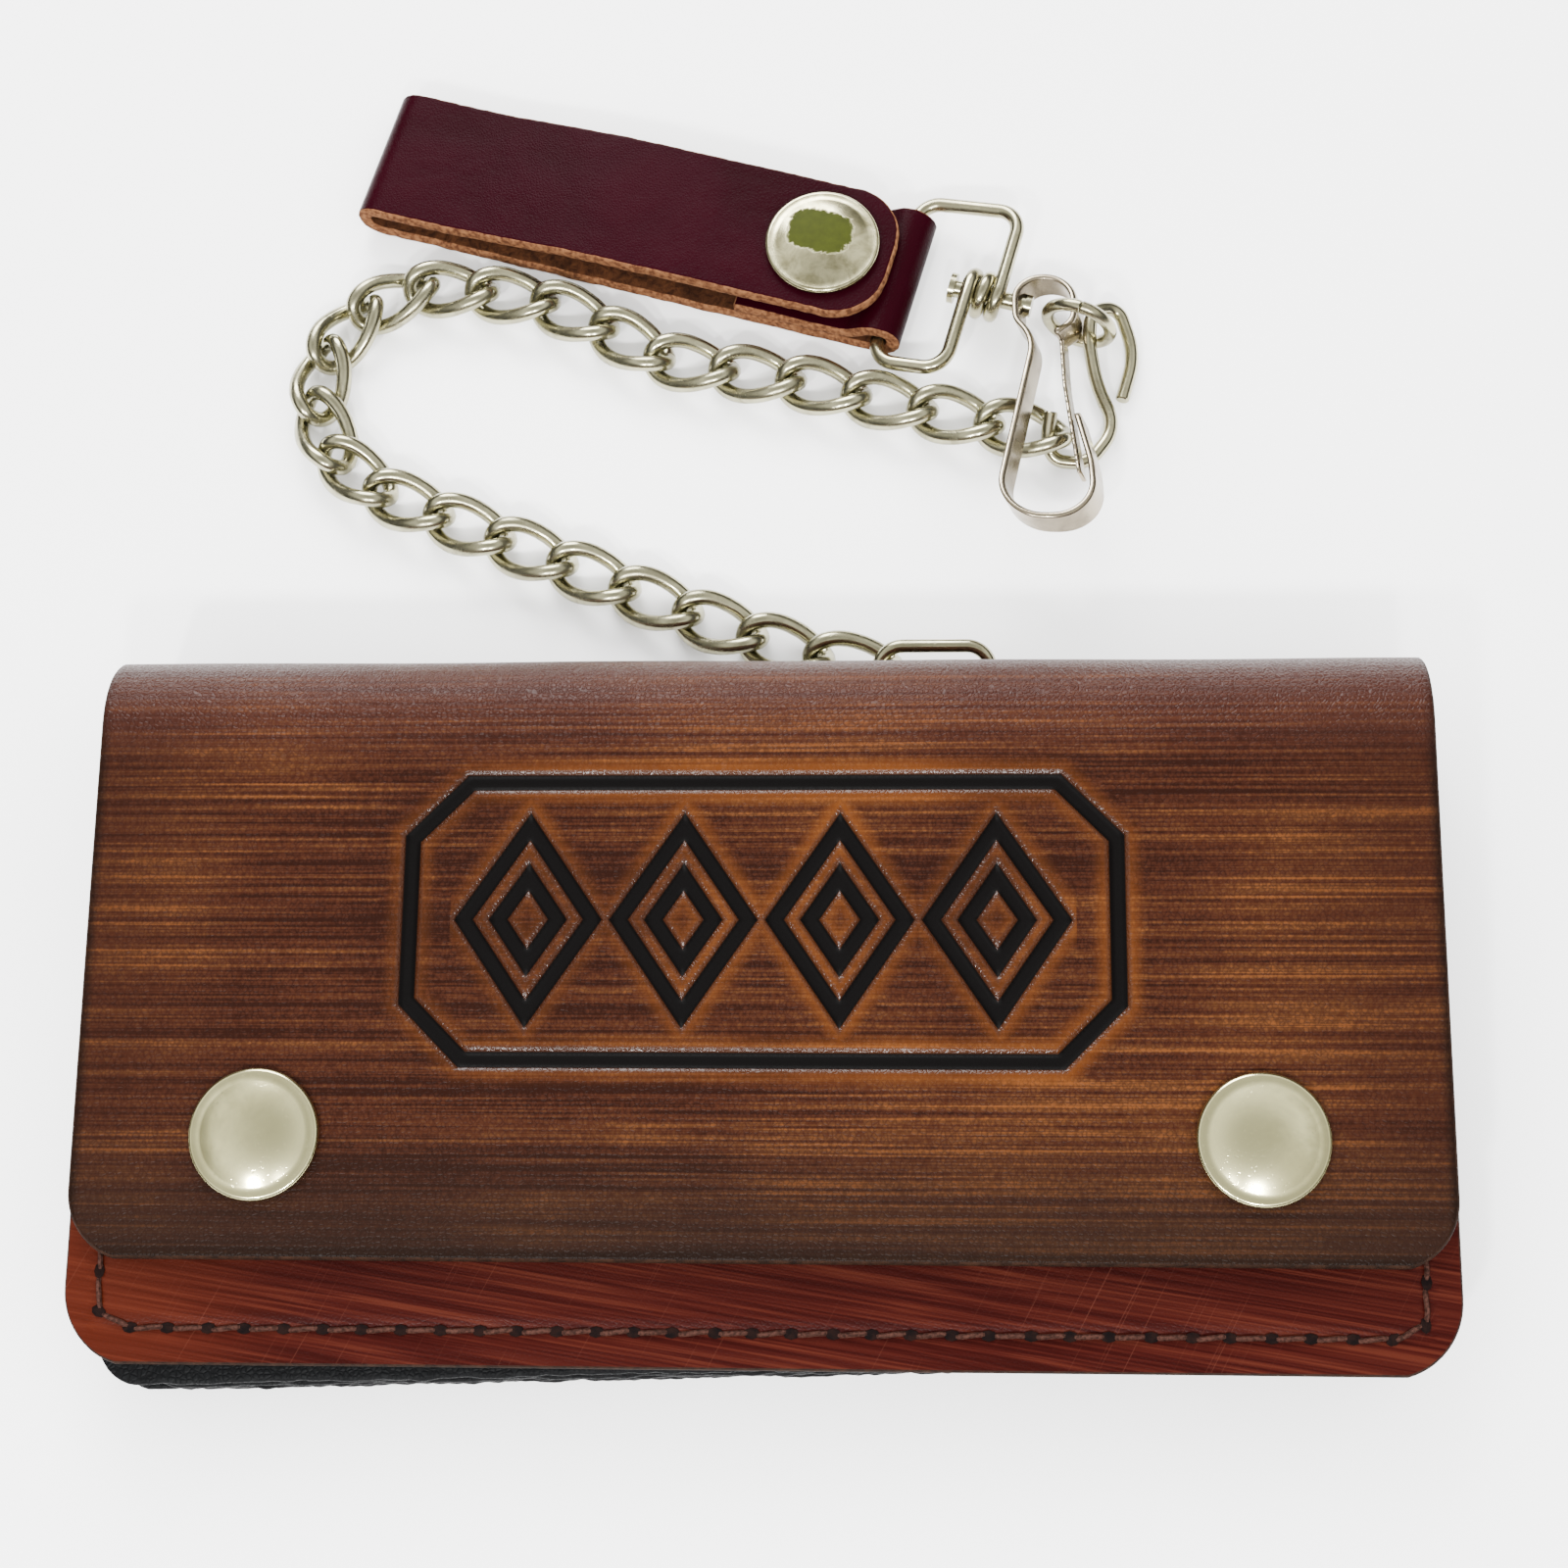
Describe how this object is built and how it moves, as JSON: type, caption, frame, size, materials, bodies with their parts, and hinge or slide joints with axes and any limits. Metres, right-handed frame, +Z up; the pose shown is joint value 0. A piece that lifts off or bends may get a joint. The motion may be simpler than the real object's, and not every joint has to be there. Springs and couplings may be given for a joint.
{
  "type": "chain wallet",
  "caption": "Long snapped leather wallet with a flap over a red front panel, card and coin pockets, curb chain, S-hook, snap clip and snapped belt strap.",
  "frame": {"origin": "Middle of the back panel's outer face, on the surface the wallet lies on.", "axes": "+X along the fold to the right as the flap faces up, +Y from the flap's edge to the fold, +Z up from the back panel to the flap."},
  "size_m": [0.166, 0.1825, 0.0222],
  "materials": {
    "leather_brown": "glossy hand-dyed full-grain leather",
    "leather_dark": "dark brown full-grain leather",
    "leather_red": "red-brown hand-dyed leather, waxed",
    "leather_black": "thin black leather, matt",
    "zip_cloth": "woven cotton tape",
    "zip_metal": "bright brass",
    "snap_nickel": "satin nickel on brass",
    "chain_nickel": "polished nickel on steel wire",
    "hardware_nickel": "polished nickel on steel wire",
    "clip_steel": "nickelled spring steel strip",
    "leather_burgundy": "smooth burgundy leather, tan raw edges"
  },
  "bodies": {
    "wallet": {"back_panel": "leather_dark", "spine": "leather_brown", "front_panel": "leather_red", "front_lining": "leather_black", "back_lining": "leather_black", "card_pocket_inner": "leather_black", "card_pocket_outer": "leather_black", "coin_pocket_back": "leather_black", "coin_pocket_front": "leather_black", "gusset_left": "leather_black", "gusset_right": "leather_black", "zipper_tapes": "zip_cloth", "zipper_teeth": "zip_metal", "front_snap_studs": "snap_nickel", "anchor_tab": "leather_black", "anchor_rivet": "snap_nickel"},
    "flap": {"flap": "leather_brown", "flap_snap_caps": "snap_nickel", "flap_snap_sockets": "snap_nickel"},
    "slider": {"zipper_slider": "zip_metal"},
    "pull": {"zipper_pull": "zip_metal"},
    "d_ring": {"d_ring": "chain_nickel"},
    "chain_tail": {"chain_link_01": "chain_nickel", "chain_link_02": "chain_nickel", "chain_link_03": "chain_nickel", "chain_link_04": "chain_nickel", "chain_link_05": "chain_nickel", "chain_link_06": "chain_nickel", "chain_link_07": "chain_nickel", "chain_link_08": "chain_nickel"},
    "chain_bend": {"chain_link_09": "chain_nickel", "chain_link_10": "chain_nickel", "chain_link_11": "chain_nickel", "chain_link_12": "chain_nickel", "chain_link_13": "chain_nickel", "chain_link_14": "chain_nickel"},
    "chain_lead": {"chain_link_15": "chain_nickel", "chain_link_16": "chain_nickel", "chain_link_17": "chain_nickel", "chain_link_18": "chain_nickel", "chain_link_19": "chain_nickel", "chain_link_20": "chain_nickel", "chain_link_21": "chain_nickel", "chain_link_22": "chain_nickel", "chain_link_23": "chain_nickel"},
    "s_hook": {"s_hook": "hardware_nickel"},
    "jump_ring": {"jump_ring": "hardware_nickel"},
    "clip": {"clip_body": "clip_steel", "swivel_post": "hardware_nickel"},
    "gate": {"clip_gate": "clip_steel"},
    "ring_frame": {"ring_frame": "hardware_nickel"},
    "strap_lower": {"strap_lower": "leather_burgundy", "strap_stud": "snap_nickel"},
    "strap_upper": {"strap_upper": "leather_burgundy", "strap_cap": "snap_nickel", "strap_socket": "snap_nickel"}
  },
  "joints": [
    {"name": "flap_fold", "type": "hinge", "parent": "wallet", "child": "flap", "pos_m": [0, 0.04071, 0.01957], "axis": [-1, 0, 0], "range_deg": [0, 180]},
    {"name": "zipper_slide", "type": "slide", "parent": "wallet", "child": "slider", "axis": [1, 0, 0], "range_m": [-0.124, 0]},
    {"name": "pull_turn", "type": "hinge", "parent": "slider", "child": "pull", "pos_m": [0.062, 0.03145, 0.00788], "axis": [0, 0, -1], "range_deg": [0, 40]},
    {"name": "ring_lift", "type": "hinge", "parent": "wallet", "child": "d_ring", "pos_m": [0.0218, 0.0435, 0.00245], "axis": [-1, 0, 0], "range_deg": [-16, 0]},
    {"name": "chain_swing", "type": "hinge", "parent": "d_ring", "child": "chain_tail", "pos_m": [0.0156, 0.04678, 0.00433], "axis": [0, 0, 1], "range_deg": [-12, 0]},
    {"name": "chain_turn_1", "type": "hinge", "parent": "chain_tail", "child": "chain_bend", "pos_m": [-0.05447, 0.07368, 0.00262], "axis": [0, 0, 1], "range_deg": [-8, 8]},
    {"name": "chain_turn_2", "type": "hinge", "parent": "chain_bend", "child": "chain_lead", "pos_m": [-0.04193, 0.1046, 0.00262], "axis": [0, 0, 1], "range_deg": [-6, 0]},
    {"name": "hook_swing", "type": "hinge", "parent": "chain_lead", "child": "s_hook", "pos_m": [0.03869, 0.08118, 0.00262], "axis": [0, 0, 1], "range_deg": [-15, 0]},
    {"name": "jump_swing", "type": "hinge", "parent": "s_hook", "child": "jump_ring", "pos_m": [0.04179, 0.09688, 0.0045], "axis": [0, 0, 1], "range_deg": [-8, 0]},
    {"name": "clip_swing", "type": "hinge", "parent": "jump_ring", "child": "clip", "pos_m": [0.03769, 0.10008, 0.0043], "axis": [0, 0, 1], "range_deg": [-12, 0]},
    {"name": "gate_press", "type": "hinge", "parent": "clip", "child": "gate", "pos_m": [0.03969, 0.09377, 0.00536], "axis": [0, -0.165, -0.9863], "range_deg": [0, 14], "stiffness_Nm_per_rad": 0.02},
    {"name": "ring_swivel", "type": "hinge", "parent": "clip", "child": "ring_frame", "pos_m": [0.03769, 0.10008, 0.00345], "axis": [0.9627, -0.2706, 0], "range_deg": [-20, 20]},
    {"name": "strap_swing", "type": "hinge", "parent": "ring_frame", "child": "strap_lower", "pos_m": [0.0168, 0.10522, 0.00315], "axis": [-0.2706, -0.9627, 0], "range_deg": [-60, 0]},
    {"name": "strap_open", "type": "hinge", "parent": "strap_lower", "child": "strap_upper", "pos_m": [-0.05738, 0.12607, 0.0032], "axis": [-0.2706, -0.9627, 0], "range_deg": [0, 120]}
  ]
}
